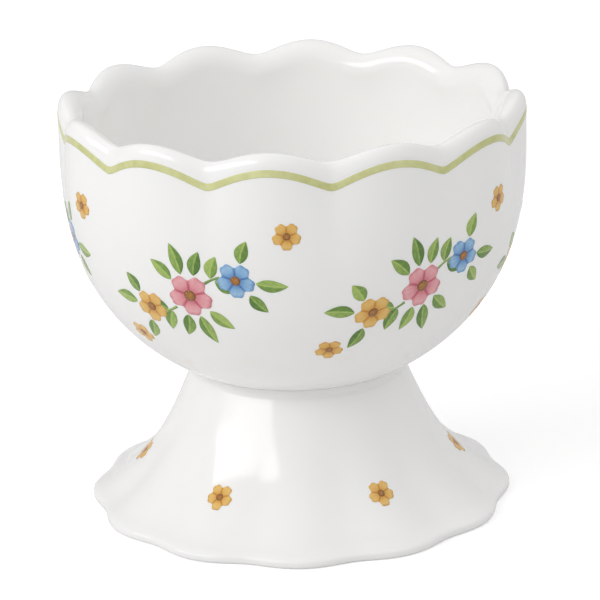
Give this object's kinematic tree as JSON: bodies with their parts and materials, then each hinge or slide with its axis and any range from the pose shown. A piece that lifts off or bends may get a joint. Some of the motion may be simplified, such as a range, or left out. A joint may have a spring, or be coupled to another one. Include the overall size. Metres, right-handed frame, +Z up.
{
  "type": "egg cup",
  "caption": "Porcelain egg cup: a round bowl with a scalloped rim on a hollow flared foot, edged with a green line and printed with flower sprays. Holds a boiled egg upright.",
  "frame": {"origin": "middle of the resting ring, on the surface that the cup stands on", "axes": "+Z up along the axis of the bowl and the foot, -Y towards the viewer of the picture, +X to the viewer's right"},
  "size_m": [0.058, 0.058, 0.0524],
  "materials": {
    "porcelain": "glossy white glaze",
    "slip": "glossy white glaze over a slip fillet",
    "line_green": "glossy olive green ceramic colour",
    "leaf_green": "glossy ceramic print",
    "petal_pink": "glossy ceramic print",
    "petal_blue": "glossy ceramic print",
    "petal_yellow": "glossy ceramic print",
    "heart_brown": "glossy ceramic print"
  },
  "bodies": {
    "root": {"bowl": "porcelain", "foot": "porcelain", "slip_joint": "slip", "rim_line": "line_green", "leaf_print": "leaf_green", "pink_print": "petal_pink", "blue_print": "petal_blue", "yellow_print": "petal_yellow", "heart_print": "heart_brown"}
  },
  "joints": []
}
